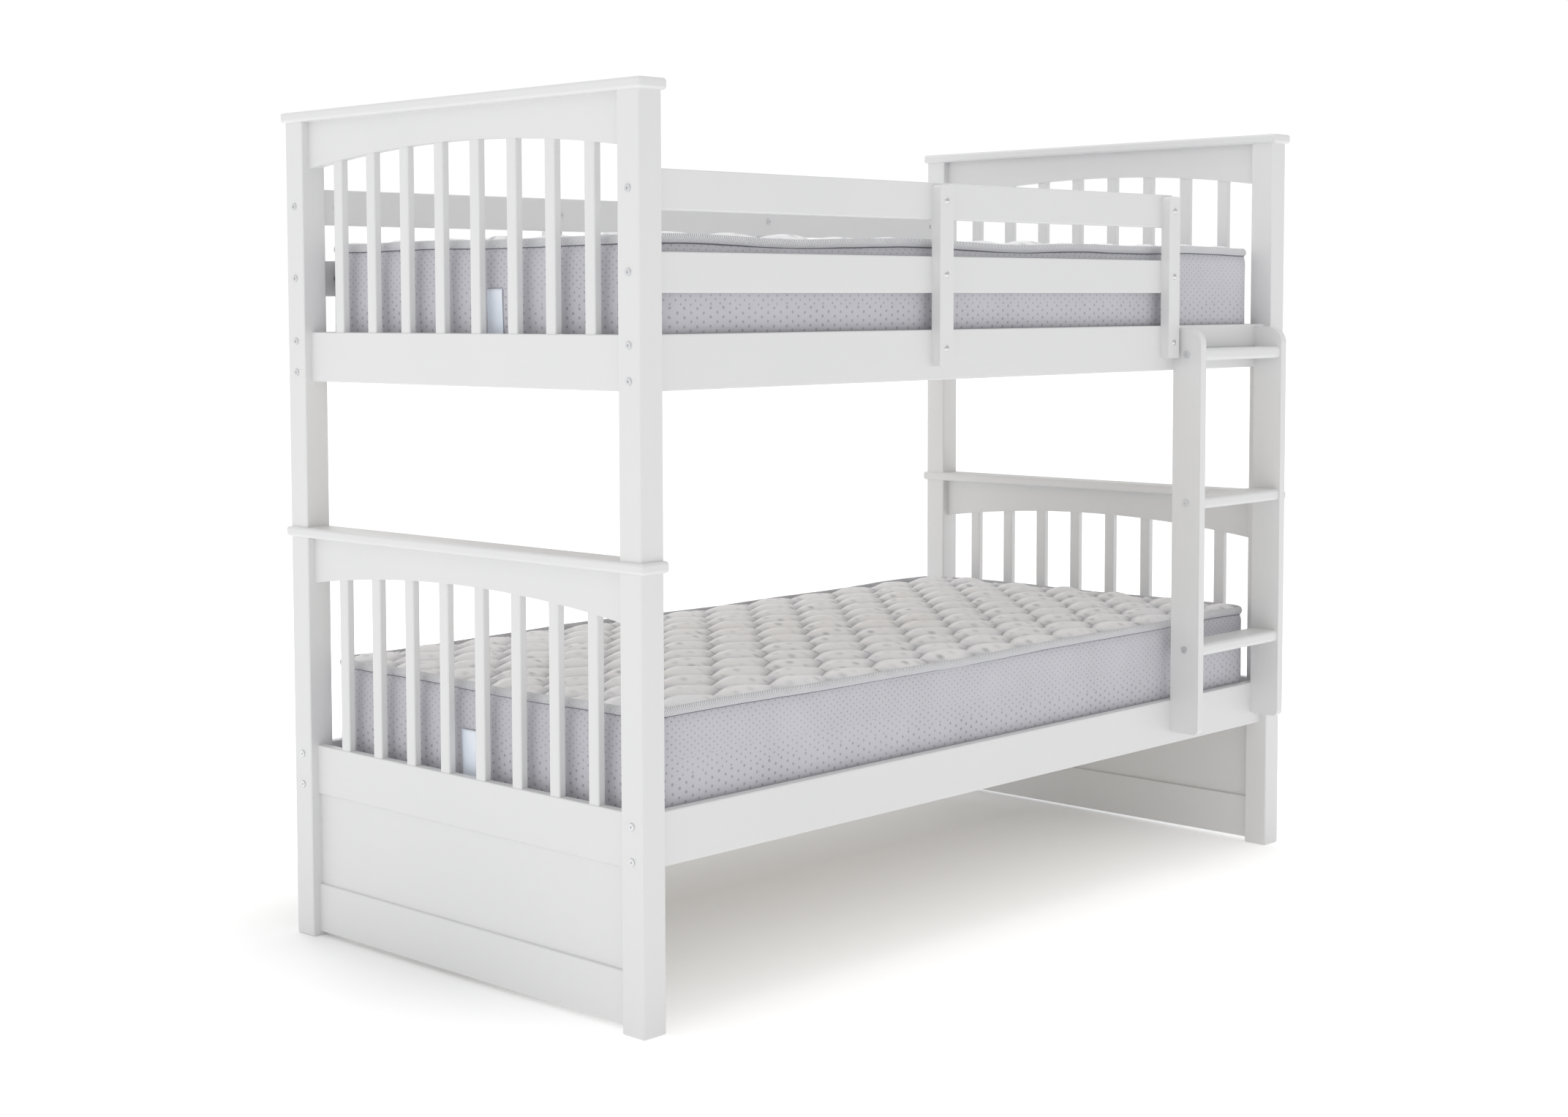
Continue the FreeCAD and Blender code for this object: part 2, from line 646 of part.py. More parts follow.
def make_fixings():
    groups = {}
    for made in (make_rail_fixings(), make_guard_fixings(), make_ladder_fixings(), make_dowels(),
                 make_stacking_pins()):
        for name, solids in made.items():
            groups.setdefault(name, []).extend(solids)
    for name, solids in groups.items():
        pieces[name] = Part.Compound(solids)


make_end_frames()
for level in LEVELS:
    make_side_rails(level)
    make_base(level)
    make_mattress(level)
make_guards()
make_ladder()
make_fixings()

for name, shape in sorted(pieces.items()):
    shape.exportStep(f"parts/{name}.step")
print(len(pieces), "pieces,", sum(len(shape.Solids) for shape in pieces.values()), "solids")
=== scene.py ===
import math

import bmesh
import bpy
import numpy as np
from mathutils import Matrix, Vector, noise


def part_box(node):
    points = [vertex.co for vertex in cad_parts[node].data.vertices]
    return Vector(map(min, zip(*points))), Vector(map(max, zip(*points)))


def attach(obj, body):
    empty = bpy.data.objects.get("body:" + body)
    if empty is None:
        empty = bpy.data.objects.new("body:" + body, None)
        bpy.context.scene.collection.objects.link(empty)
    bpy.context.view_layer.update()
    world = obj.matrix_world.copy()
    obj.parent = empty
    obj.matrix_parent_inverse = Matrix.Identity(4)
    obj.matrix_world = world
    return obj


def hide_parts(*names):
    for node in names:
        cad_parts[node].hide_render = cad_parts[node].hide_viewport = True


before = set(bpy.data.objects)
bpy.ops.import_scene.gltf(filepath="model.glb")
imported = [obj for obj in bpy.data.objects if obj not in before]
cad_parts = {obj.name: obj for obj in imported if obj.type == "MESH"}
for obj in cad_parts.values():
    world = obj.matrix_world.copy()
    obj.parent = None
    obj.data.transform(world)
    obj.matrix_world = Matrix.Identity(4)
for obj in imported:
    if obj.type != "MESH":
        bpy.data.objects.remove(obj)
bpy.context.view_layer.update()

scene = bpy.context.scene


# helpers for material nodes

def addNode(tree, kind, inputs=None, **settings):
    node = tree.nodes.new(kind)
    for key, value in settings.items():
        setattr(node, key, value)
    for key, value in (inputs or {}).items():
        if isinstance(value, bpy.types.NodeSocket):
            tree.links.new(value, node.inputs[key])
        else:
            node.inputs[key].default_value = value
    return node


def calc(tree, operation, *values):
    return addNode(tree, "ShaderNodeMath", dict(enumerate(values)), operation=operation).outputs[0]


def mixColour(tree, factor, first, second):
    node = addNode(tree, "ShaderNodeMix", {0: factor, 6: first, 7: second}, data_type="RGBA")
    return node.outputs[2]


def remap(tree, value, fromLow, fromHigh, toLow, toHigh):
    node = addNode(tree, "ShaderNodeMapRange",
                   {0: value, 1: fromLow, 2: fromHigh, 3: toLow, 4: toHigh})
    return node.outputs[0]


def newGroup(name, inputs, outputs):
    tree = bpy.data.node_groups.new(name, "ShaderNodeTree")
    for label, kind, value in inputs:
        socket = tree.interface.new_socket(label, in_out="INPUT", socket_type=kind)
        if value is not None:
            socket.default_value = value
    for label, kind in outputs:
        tree.interface.new_socket(label, in_out="OUTPUT", socket_type=kind)
    return tree, tree.nodes.new("NodeGroupInput"), tree.nodes.new("NodeGroupOutput")


def useGroup(tree, group, inputs):
    node = tree.nodes.new("ShaderNodeGroup")
    node.node_tree = group
    for key, value in inputs.items():
        if isinstance(value, bpy.types.NodeSocket):
            tree.links.new(value, node.inputs[key])
        else:
            node.inputs[key].default_value = value
    return node


def newMaterial(name, **constants):
    material = bpy.data.materials.new(name)
    material.use_nodes = True
    tree = material.node_tree
    shader = tree.nodes["Principled BSDF"]
    for key, value in constants.items():
        shader.inputs[key.replace("_", " ")].default_value = value
    return material, tree, shader


def bumpInto(tree, shader, height, distance, strength=1.0):
    bump = addNode(tree, "ShaderNodeBump",
                   {"Height": height, "Distance": distance, "Strength": strength})
    tree.links.new(bump.outputs[0], shader.inputs["Normal"])


# effects shared by several finishes

def makeToneGroup():
    # slow, cloudy change of tone from 0 to 1
    tree, ins, outs = newGroup("slowTone", [
        ("Vector", "NodeSocketVector", None), ("Scale", "NodeSocketFloat", 3.0)],
        [("Tone", "NodeSocketFloat")])
    cloud = addNode(tree, "ShaderNodeTexNoise",
                    {"Vector": ins.outputs[0], "Scale": ins.outputs[1], "Detail": 3.0})
    tree.links.new(remap(tree, cloud.outputs[0], 0.3, 0.7, 0.0, 1.0), outs.inputs[0])
    return tree


wood = {
    "ringScale": 0.22,               # growth rings against the fibres
    "ringTurns": 42.0,
    "ringShare": 0.22,               # how much of the grain's strength the rings and fibres have
    "fibreShare": 0.9,
    "height": 0.8,
}


def makeGrainGroup():
    tree, ins, outs = newGroup("woodGrain", [
        ("Vector", "NodeSocketVector", None), ("Scale", "NodeSocketFloat", 60.0)],
        [("Grain", "NodeSocketFloat"), ("Height", "NodeSocketFloat")])
    fibre = addNode(tree, "ShaderNodeTexNoise",
                    {"Vector": ins.outputs[0], "Scale": ins.outputs[1], "Detail": 6.0,
                     "Roughness": 0.65, "Distortion": 0.4})
    rings = addNode(tree, "ShaderNodeTexNoise",
                    {"Vector": ins.outputs[0],
                     "Scale": calc(tree, "MULTIPLY", ins.outputs[1], wood["ringScale"]),
                     "Detail": 1.0, "Distortion": 1.2})
    bands = calc(tree, "SINE", calc(tree, "MULTIPLY", rings.outputs[0], wood["ringTurns"]))
    grain = calc(tree, "ADD", calc(tree, "MULTIPLY", bands, wood["ringShare"]),
                 calc(tree, "MULTIPLY", fibre.outputs[0], wood["fibreShare"]))
    tree.links.new(grain, outs.inputs[0])
    tree.links.new(calc(tree, "MULTIPLY", grain, wood["height"]), outs.inputs[1])
    return tree


weaving = {"crossings": 0.3, "slubScale": 0.35}


def makeWeaveGroup():
    # threads that cross, with slubs; Threads is how many there are in a metre
    tree, ins, outs = newGroup("clothWeave", [
        ("Vector", "NodeSocketVector", None), ("Threads", "NodeSocketFloat", 1.0)],
        [("Height", "NodeSocketFloat")])
    turns = addNode(tree, "ShaderNodeVectorMath",
                    {0: ins.outputs[0], "Scale": ins.outputs[1]}, operation="SCALE")
    parts = addNode(tree, "ShaderNodeSeparateXYZ", {0: turns.outputs[0]})
    across = calc(tree, "SINE", calc(tree, "MULTIPLY", parts.outputs[0], math.tau))
    along = calc(tree, "SINE", calc(tree, "MULTIPLY", parts.outputs[1], math.tau))
    weave = calc(tree, "MULTIPLY", across, along)
    slub = addNode(tree, "ShaderNodeTexNoise",
                   {"Vector": turns.outputs[0], "Scale": weaving["slubScale"], "Detail": 2.0})
    height = calc(tree, "ADD", calc(tree, "MULTIPLY", weave, weaving["crossings"]),
                  slub.outputs[0])
    tree.links.new(height, outs.inputs[0])
    return tree


quilt = {
    "period": 0.144,                 # cell length along the bed
    "row": 0.073,                    # from one staggered row to the next
    "flank": 0.030,                  # the short straight seam at a cell's end
    "steep": 3.0,                    # how much faster a puff rises from a flank
    "start": (-0.240, -0.385),       # middle of one cell
    "puff": 0.0165,
    "reach": 0.050,                  # from a seam to the top of a puff
    "fade": (0.006, 0.030),          # puffs die out towards the tape
    "round": 0.75,                   # below 1 a puff is fuller
    "full": (0.86, 0.2),             # least fullness of a cell, and how much luck adds
    "uneven": (0.0011, 0.0007),      # slow and quick unevenness, as heights
    "unevenScale": (7.0, 38.0),
    "foldTurns": 310.0,              # small folds beside the tape, radians per metre round it
    "foldHeight": 0.0010,
    "foldReach": (0.014, 0.045),
    "underside": 0.003,              # how deep the quilting is pressed on the underside
}


def makeSeamGroup():
    # how far a point of the top panel is from the nearest line of quilting, in metres
    tree, ins, outs = newGroup("quiltSeams", [("Vector", "NodeSocketVector", None)],
                               [("Distance", "NodeSocketFloat")])
    parts = addNode(tree, "ShaderNodeSeparateXYZ", {0: ins.outputs[0]}).outputs
    period, row, flank = quilt["period"], quilt["row"], quilt["flank"]
    apex = row - flank / 2
    slope = (apex - flank / 2) / (period / 2)
    deepest = 0.0
    for columnShift, rowShift in ((0.0, 0.0), (period / 2, row)):
        u = calc(tree, "PINGPONG", calc(tree, "SUBTRACT", parts[0], columnShift), period / 2)
        v = calc(tree, "PINGPONG", calc(tree, "SUBTRACT", parts[1], rowShift), row)
        toFlank = calc(tree, "MULTIPLY", calc(tree, "SUBTRACT", period / 2, u), quilt["steep"])
        level = calc(tree, "MULTIPLY_ADD", u, slope, v)
        toSlant = calc(tree, "DIVIDE", calc(tree, "SUBTRACT", apex, level), math.hypot(1.0, slope))
        deepest = calc(tree, "MAXIMUM", deepest, calc(tree, "MINIMUM", toFlank, toSlant))
    tree.links.new(deepest, outs.inputs[0])
    return tree


slowTone = makeToneGroup()
woodGrain = makeGrainGroup()
clothWeave = makeWeaveGroup()
quiltSeams = makeSeamGroup()


# finishes of the bed itself

paint = {
    "light": (0.755, 0.755, 0.755, 1.0),
    "shade": (0.732, 0.734, 0.737, 1.0),
    "roughness": (0.34, 0.46),
    "grainScale": 90.0,
    "grainDepth": 0.00010,
    "stretch": 0.05,                 # how much longer the grain is along a piece
}


def grainVector(tree, axis, stretch):
    place = addNode(tree, "ShaderNodeTexCoord").outputs["Object"]
    scale = [1.0, 1.0, 1.0]
    scale[axis] = stretch
    return addNode(tree, "ShaderNodeMapping", {"Vector": place, "Scale": scale}).outputs[0], place


def makePaint(axis):
    material, tree, shader = newMaterial("whitePaint" + "XYZ"[axis])
    shader.inputs["Specular IOR Level"].default_value = 0.45
    vector, place = grainVector(tree, axis, paint["stretch"])
    grain = useGroup(tree, woodGrain, {"Vector": vector, "Scale": paint["grainScale"]})
    tone = useGroup(tree, slowTone, {"Vector": place, "Scale": 2.6}).outputs[0]
    blend = calc(tree, "MULTIPLY_ADD", grain.outputs[0], 0.25, calc(tree, "MULTIPLY", tone, 0.6))
    colour = mixColour(tree, blend, paint["light"], paint["shade"])
    tree.links.new(colour, shader.inputs["Base Color"])
    spray = addNode(tree, "ShaderNodeTexNoise", {"Vector": place, "Scale": 240.0, "Detail": 2.0})
    rough = remap(tree, spray.outputs[0], 0.3, 0.7, *paint["roughness"])
    tree.links.new(rough, shader.inputs["Roughness"])
    height = calc(tree, "MULTIPLY_ADD", spray.outputs[0], 0.35, grain.outputs[1])
    bumpInto(tree, shader, height, paint["grainDepth"], 0.5)
    return material


timber = {
    "pine": {"pale": (0.79, 0.75, 0.67, 1.0), "dark": (0.66, 0.59, 0.48, 1.0), "scale": 55.0},
    "beech": {"pale": (0.66, 0.45, 0.28, 1.0), "dark": (0.52, 0.33, 0.19, 1.0), "scale": 120.0},
    "stretch": 0.06,
    "depth": 0.00025,
}


def makeTimber(name, axis):
    spec = timber[name]
    material, tree, shader = newMaterial("bare" + name.title() + "XYZ"[axis])
    vector, place = grainVector(tree, axis, timber["stretch"])
    grain = useGroup(tree, woodGrain, {"Vector": vector, "Scale": spec["scale"]})
    tone = useGroup(tree, slowTone, {"Vector": place, "Scale": 5.0}).outputs[0]
    mask = calc(tree, "MULTIPLY_ADD", tone, 0.35, calc(tree, "MULTIPLY", grain.outputs[0], 0.8))
    tree.links.new(mixColour(tree, mask, spec["pale"], spec["dark"]), shader.inputs["Base Color"])
    tree.links.new(remap(tree, grain.outputs[0], 0.2, 0.9, 0.55, 0.72), shader.inputs["Roughness"])
    bumpInto(tree, shader, grain.outputs[1], timber["depth"], 0.6)
    return material


metals = {
    "zincSteel": {"colour": (0.80, 0.80, 0.81, 1.0), "dark": (0.60, 0.61, 0.63, 1.0),
                  "roughness": (0.28, 0.5), "scale": 900.0},
    "brightSteel": {"colour": (0.78, 0.78, 0.78, 1.0), "dark": (0.55, 0.55, 0.56, 1.0),
                    "roughness": (0.16, 0.3), "scale": 1400.0},
}


def makeMetal(name):
    spec = metals[name]
    material, tree, shader = newMaterial(name, Metallic=1.0)
    place = addNode(tree, "ShaderNodeTexCoord").outputs["Object"]
    fleck = addNode(tree, "ShaderNodeTexNoise",
                    {"Vector": place, "Scale": spec["scale"], "Detail": 3.0})
    tree.links.new(mixColour(tree, fleck.outputs[0], spec["dark"], spec["colour"]),
                   shader.inputs["Base Color"])
    tree.links.new(remap(tree, fleck.outputs[0], 0.3, 0.7, *spec["roughness"]),
                   shader.inputs["Roughness"])
    bumpInto(tree, shader, fleck.outputs[0], 0.00004, 0.4)
    return material


def grainAxis(name):
    if any(word in name for word in ("post", "end_slats", "upright", "stringer")):
        return 2
    if any(word in name for word in ("cap", "arch", "end_rail", "kick", "panel", "base_slats")):
        return 1
    return 0


def finishOf(name):
    if "mattress" in name:
        return None
    if "ledger" in name or "base_slats" in name:
        return "pine"
    if "dowel" in name:
        return "beech"
    if "guard_bolts" in name:
        return "brightSteel"
    if "bolt" in name or "nut" in name or "pin" in name:
        return "zincSteel"
    return "paint"


def dressFrame():
    made = {}
    for name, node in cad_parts.items():
        finish = finishOf(name)
        if finish is None:
            continue
        axis = 0 if finish.endswith("Steel") else grainAxis(name)
        key = (finish, axis)
        if key not in made:
            if finish == "paint":
                made[key] = makePaint(axis)
            elif finish in ("pine", "beech"):
                made[key] = makeTimber(finish, axis)
            else:
                made[key] = makeMetal(finish)
        for item in node.material_slots:
            item.material = made[key]
    print("frame dressed in", len(made), "finishes")


# the shape of a mattress

mattress = {
    "corner": 0.054,                 # plan radius of the corners
    "rim": 0.014,                    # radius between the border and the panels
    "shrink": -0.001,                # how far the core's sides start inside the full size
    "voxel": 0.011,
    "pressure": 4.0,
    "frames": 20,
    "cap": 0.003,                    # the most that a point swells
    "tapeHeight": 0.018,
    "tapeThick": 0.0045,
    "tapeInset": 0.0010,             # back of the tape inside the mattress's full size
    "tapeTighter": 0.002,            # its plan radius is this much under the core's
    "tapeDrop": 0.004,               # the upper tape's top edge below the top panel
    "tapeFoot": 0.002,               # the lower tape above the underside
    "deep": 0.009,                   # the seams at the tape below the top of the puffs
    "tapeWave": 0.0060,
    "tapeStep": 0.016,               # length of the tape's facets
    "tapeSolid": 0.004,              # thickness of the tape before it is puffed out
    "tapeFlat": 0.35,                # share of the puff taken off its edges
    "tapeFlutter": 0.0008,
    "crown": 0.004,                  # the middle of the top stands this much above its edge
    "crownReach": (0.05, 0.40),
    "heldBelow": 0.012,              # the core's base and top rim don't swell
    "heldRim": 0.020,
    "borderDepth": 0.009,            # what counts as border: this near the outline,
    "borderFromTop": 0.012,          # this far below the top,
    "borderFromBase": 0.006,         # and this far above the base
    "slack": (0.0010, 0.0006),       # slow and quick looseness of the border
    "tuck": 0.0022,                  # the border is drawn in below the top tape
    "tuckReach": 0.008,
}


def smooth(low, high, value):
    t = np.clip((value - low) / (high - low), 0.0, 1.0)
    return t * t * (3.0 - 2.0 * t)


def fromEdge(x, y, middle, half, radius):
    qx = np.abs(x - middle[0]) - (half[0] - radius)
    qy = np.abs(y - middle[1]) - (half[1] - radius)
    outside = np.hypot(np.maximum(qx, 0.0), np.maximum(qy, 0.0))
    return radius - outside - np.minimum(np.maximum(qx, qy), 0.0)


def awayFrom(x, y, middle, half, radius):
    # level direction that points straight out of the rounded plan
    inner = [half[0] - radius, half[1] - radius]
    out = np.stack([x - np.clip(x, middle[0] - inner[0], middle[0] + inner[0]),
                    y - np.clip(y, middle[1] - inner[1], middle[1] + inner[1])], 1)
    return out / np.maximum(np.linalg.norm(out, axis=1), 1e-6)[:, None]


def roundTheRim(x, y, middle, half, radius):
    a = half[0] - radius
    b = half[1] - radius
    x = middle[0] - x                # turned half round, so that the join is at the back
    y = middle[1] - y
    px = np.clip(x, -a, a)
    py = np.clip(y, -b, b)
    turn = np.mod(np.arctan2(y - py, x - px) + math.pi / 2, math.tau)
    tiny = 1e-4
    turn = np.where(turn > math.tau - tiny, 0.0, turn)
    length = radius * turn
    sides = ((px + a, 2 * a), (py + b, 2 * b), (a - px, 2 * a), (b - py, 2 * b))
    for quarter, (part, full) in enumerate(sides):
        start = quarter * math.pi / 2
        length += np.where(turn < start - tiny, 0.0, np.where(turn > start + tiny, full, part))
    return length, 4 * a + 4 * b + math.tau * radius


def readPoints(mesh):
    flat = np.empty(len(mesh.vertices) * 3, np.float32)
    mesh.vertices.foreach_get("co", flat)
    return flat.reshape(-1, 3).astype(float)


def writePoints(mesh, points):
    mesh.vertices.foreach_set("co", points.astype(np.float32).ravel())
    mesh.update()


def wander(points, scale, seed):
    # slow noise from -1 to 1 at each point
    shift = Vector((seed, 2.0 * seed, -seed))
    return np.array([noise.noise(Vector(p) * scale + shift) for p in points])


def makePiece(bm, name, *materials):
    mesh = bpy.data.meshes.new(name)
    bm.to_mesh(mesh)
    bm.free()
    piece = bpy.data.objects.new(name, mesh)
    scene.collection.objects.link(piece)
    for material in materials:
        mesh.materials.append(material)
    return piece


def bevelEdges(bm, edges, radius, steps):
    bmesh.ops.bevel(bm, geom=edges, offset=radius, offset_type="OFFSET", affect="EDGES",
                    segments=steps, profile=0.5, material=-1, clamp_overlap=True)


def settle(piece):
    # what the modifiers make becomes the mesh
    graph = bpy.context.evaluated_depsgraph_get()
    done = bpy.data.meshes.new_from_object(piece.evaluated_get(graph))
    piece.modifiers.clear()
    old = piece.data
    piece.data = done
    bpy.data.meshes.remove(old)


def roundedBox(low, high, corner, rim):
    bm = bmesh.new()
    bmesh.ops.create_cube(bm, size=1.0)
    bmesh.ops.scale(bm, vec=high - low, verts=bm.verts)
    bmesh.ops.translate(bm, vec=(low + high) / 2, verts=bm.verts)
    upright = [e for e in bm.edges if abs(e.verts[0].co.z - e.verts[1].co.z) > 0.01]
    bevelEdges(bm, upright, corner, 12)
    bm.normal_update()
    edge = [e for e in bm.edges
            if sorted(abs(f.normal.z) > 0.9 for f in e.link_faces) == [False, True]]
    if rim:
        bevelEdges(bm, edge, rim, 4)
    return bm


ticking = {"mass": 0.4, "stretch": 12.0, "shear": 4.0, "bend": 0.6}    # the cloth of the core


def inflate(piece, held):
    start = readPoints(piece.data)
    group = piece.vertex_groups.new(name="held")
    group.add([int(i) for i in np.nonzero(held)[0]], 1.0, "REPLACE")
    cloth = piece.modifiers.new("swell", "CLOTH")
    settings = cloth.settings
    settings.quality = 4
    settings.mass = ticking["mass"]
    settings.tension_stiffness = settings.compression_stiffness = ticking["stretch"]
    settings.shear_stiffness = ticking["shear"]
    settings.bending_stiffness = ticking["bend"]
    settings.vertex_group_mass = "held"
    settings.pin_stiffness = 1.0
    settings.use_pressure = True
    settings.uniform_pressure_force = mattress["pressure"]
    settings.effector_weights.gravity = 0.0
    cloth.collision_settings.use_collision = False
    cloth.point_cache.frame_start = 1
    cloth.point_cache.frame_end = mattress["frames"]
    for step in range(1, mattress["frames"] + 1):
        scene.frame_set(step)
    settle(piece)
    moved = readPoints(piece.data) - start
    size = np.linalg.norm(moved, axis=1)
    print("  swelled", round(float(size.mean()) * 1000, 2), "mm on average,",
          round(float(size.max()) * 1000, 2), "mm at most")
    # large moves are pressed down smoothly to the cap, not cut off
    cap = mattress["cap"]
    share = cap * np.tanh(size / cap) / np.maximum(size, 1e-9)
    writePoints(piece.data, start + moved * share[:, None])
    piece.vertex_groups.clear()
    scene.frame_set(1)


def cellDepth(x, y, columnShift, rowShift):
    # how far inside a quilted cell of one of the two staggered grids a point is
    period, row, flank = quilt["period"], quilt["row"], quilt["flank"]
    u = (x - quilt["start"][0] - columnShift) / period
    v = (y - quilt["start"][1] - rowShift) / (2 * row)
    column, line = np.round(u), np.round(v)
    u = np.abs(u - column) * period
    v = np.abs(v - line) * 2 * row
    apex = row - flank / 2
    slope = (apex - flank / 2) / (period / 2)
    toFlank = (period / 2 - u) * quilt["steep"]
    toSlant = (apex - slope * u - v) / math.hypot(1.0, slope)
    # a lucky number from 0 to 1 for each cell
    lucky = np.sin(column * 12.9898 + line * 78.233 + columnShift * 400) * 43758.5453
    return np.minimum(toFlank, toSlant), lucky - np.floor(lucky)


def puffAt(x, y):
    # height of the quilting at a point, as a share of a full puff
    first, luckA = cellDepth(x, y, 0.0, 0.0)
    second, luckB = cellDepth(x, y, quilt["period"] / 2, quilt["row"])
    depth = np.maximum(np.maximum(first, second), 0.0)
    luck = np.where(first > second, luckA, luckB)
    rise = np.sin(np.clip(depth / quilt["reach"], 0.0, 1.0) * math.pi / 2) ** quilt["round"]
    least, more = quilt["full"]
    return rise * (least + more * luck)


def quiltCore(piece, low, high, middle, half):
    points = readPoints(piece.data)
    x, y, z = points.T
    depth = fromEdge(x, y, middle, half, mattress["corner"])
    length = roundTheRim(x, y, middle, half, mattress["corner"])[0]
    rise = puffAt(x, y)
    slowScale, quickScale = quilt["unevenScale"]
    drift = wander(points, slowScale, 3.0)
    ripple = wander(points, quickScale, 11.0)
    panel = smooth(*quilt["fade"], depth)
    upper = z > (low.z + high.z) / 2
    sunk = mattress["deep"] - quilt["puff"]
    lift = (quilt["puff"] * rise + sunk) * panel
    lift += mattress["crown"] * smooth(*mattress["crownReach"], depth)
    slow, quick = quilt["uneven"]
    lift += panel * (slow * drift + quick * ripple * rise)
    # small folds that run from the tape into the first cells
    fold = np.sin(length * quilt["foldTurns"] + 4.0 * drift + 60.0 * depth)
    lift += quilt["foldHeight"] * fold * smooth(0.0, 0.010, depth) * (
        1 - smooth(*quilt["foldReach"], depth))
    z = np.where(upper & (depth > 0.002), z + lift * smooth(0.0, 0.006, depth), z)
    groove = quilt["underside"] * (1.0 - rise) * panel
    z = np.where(~upper & (depth > mattress["rim"]), np.maximum(z, low.z) + groove, z)
    # the border hangs a little loose between its two tapes
    side = 1 - smooth(0.0, 0.010, depth)
    outwards = awayFrom(x, y, middle, half, mattress["corner"])
    slow, quick = mattress["slack"]
    slack = slow * wander(np.stack([length * 5, z * 9, 0 * z], 1), 1.0, 5.0)
    slack += quick * wander(np.stack([length * 26, z * 5, 0 * z], 1), 1.0, 8.0)
    top = high.z - mattress["tapeDrop"] - mattress["tapeHeight"]
    tuck = mattress["tuck"] * np.exp(-((z - top) / mattress["tuckReach"]) ** 2)
    step = (slack - tuck) * side
    writePoints(piece.data, np.stack([x + outwards[:, 0] * step, y + outwards[:, 1] * step, z], 1))
    print("  quilted", len(points), "points")


def wrapLayout(mesh, middle, half, base, step, flat=None):
    # metres round the rim and up from the base; faces marked flat are laid out in plan.
    # step lets a pattern meet itself at the back
    points = readPoints(mesh)
    length, total = roundTheRim(points[:, 0], points[:, 1], middle, half, mattress["corner"])
    whole = round(total / step) * step
    length = length / total * whole
    corners = np.empty(len(mesh.loops), np.int32)
    mesh.loops.foreach_get("vertex_index", corners)
    u = length[corners]
    v = points[corners, 2] - base
    starts = np.empty(len(mesh.polygons), np.int32)
    counts = np.empty(len(mesh.polygons), np.int32)
    mesh.polygons.foreach_get("loop_start", starts)
    mesh.polygons.foreach_get("loop_total", counts)
    face = np.repeat(np.arange(len(starts)), counts)
    highest = np.maximum.reduceat(u, starts)[face]
    u = np.where(highest - u > whole / 2, u + whole, u)
    if flat is not None:
        u = np.where(flat[face], points[corners, 0] - quilt["start"][0], u)
        v = np.where(flat[face], points[corners, 1] - quilt["start"][1], v)
    layer = mesh.uv_layers.new(name="wrap")
    layer.data.foreach_set("uv", np.stack([u, v], 1).astype(np.float32).ravel())


def makeCore(name, low, high, looks):
    middle = ((low.x + high.x) / 2, (low.y + high.y) / 2)
    shrink = Vector((mattress["shrink"], mattress["shrink"], 0.0))
    head = Vector((0.0, 0.0, mattress["deep"]))
    bm = roundedBox(low + shrink, high - shrink - head, mattress["corner"], mattress["rim"])
    piece = makePiece(bm, name, *looks)
    even = piece.modifiers.new("even", "REMESH")
    even.mode = "VOXEL"
    even.voxel_size = mattress["voxel"]
    settle(piece)
    for material in looks:
        if material.name not in piece.data.materials:
            piece.data.materials.append(material)
    half = ((high.x - low.x) / 2 - mattress["shrink"], (high.y - low.y) / 2 - mattress["shrink"])
    points = readPoints(piece.data)
    print("  core has", len(points), "points")
    edge = fromEdge(points[:, 0], points[:, 1], middle, half, mattress["corner"])
    under = points[:, 2] < low.z + mattress["heldBelow"]
    near = mattress["heldRim"]
    rim = (edge < near) & (points[:, 2] > high.z - mattress["deep"] - near)
    inflate(piece, under | rim)
    finer = piece.modifiers.new("finer", "SUBSURF")
    finer.levels = finer.render_levels = 1
    settle(piece)
    quiltCore(piece, low, high, middle, half)
    centres = np.empty(len(piece.data.polygons) * 3, np.float32)
    piece.data.polygons.foreach_get("center", centres)
    centres = centres.reshape(-1, 3)
    edge = fromEdge(centres[:, 0], centres[:, 1], middle, half, mattress["corner"])
    border = edge < mattress["borderDepth"]
    border &= centres[:, 2] < high.z - mattress["borderFromTop"]
    border &= centres[:, 2] > low.z + mattress["borderFromBase"]
    wrapLayout(piece.data, middle, half, low.z, borderPrint["repeat"], ~border)
    piece.data.polygons.foreach_set("material_index", border.astype(np.int32))
    piece.data.polygons.foreach_set("use_smooth", np.ones(len(centres), bool))
    return piece


